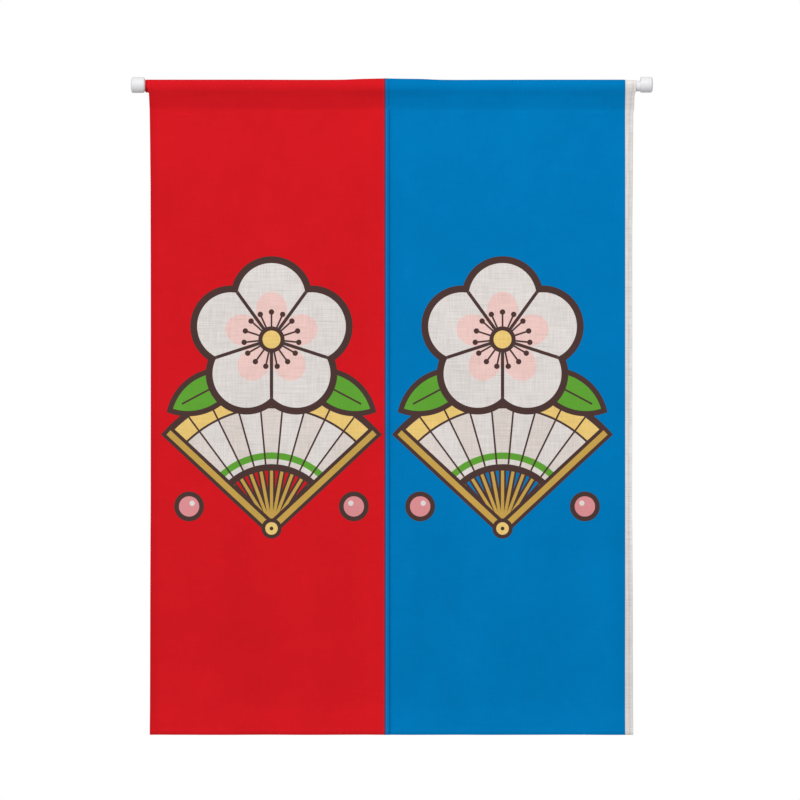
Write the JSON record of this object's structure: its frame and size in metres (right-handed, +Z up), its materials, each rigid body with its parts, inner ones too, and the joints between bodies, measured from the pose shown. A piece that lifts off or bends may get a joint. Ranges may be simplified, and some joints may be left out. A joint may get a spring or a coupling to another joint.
{
  "type": "noren curtain on tension rod",
  "caption": "Split doorway curtain of a red and a blue cloth panel, hung by a sewn rod pocket from a plain white tension rod with round end caps.",
  "frame": {"origin": "on the rod's axis at mid-length", "axes": "+X along the rod to the right as seen from the front, -Y out of the cloth's printed front, +Z up"},
  "size_m": [0.918, 0.0296, 1.1582],
  "materials": {
    "red_cloth": "matt printed plain weave",
    "blue_cloth": "matt printed plain weave",
    "white_paint": "smooth satin coating",
    "white_plastic": "fine moulded texture"
  },
  "bodies": {
    "root": {"panel_left": "red_cloth", "panel_right": "blue_cloth", "rod_tube": "white_paint", "cap_left": "white_plastic", "cap_right": "white_plastic"}
  },
  "joints": []
}
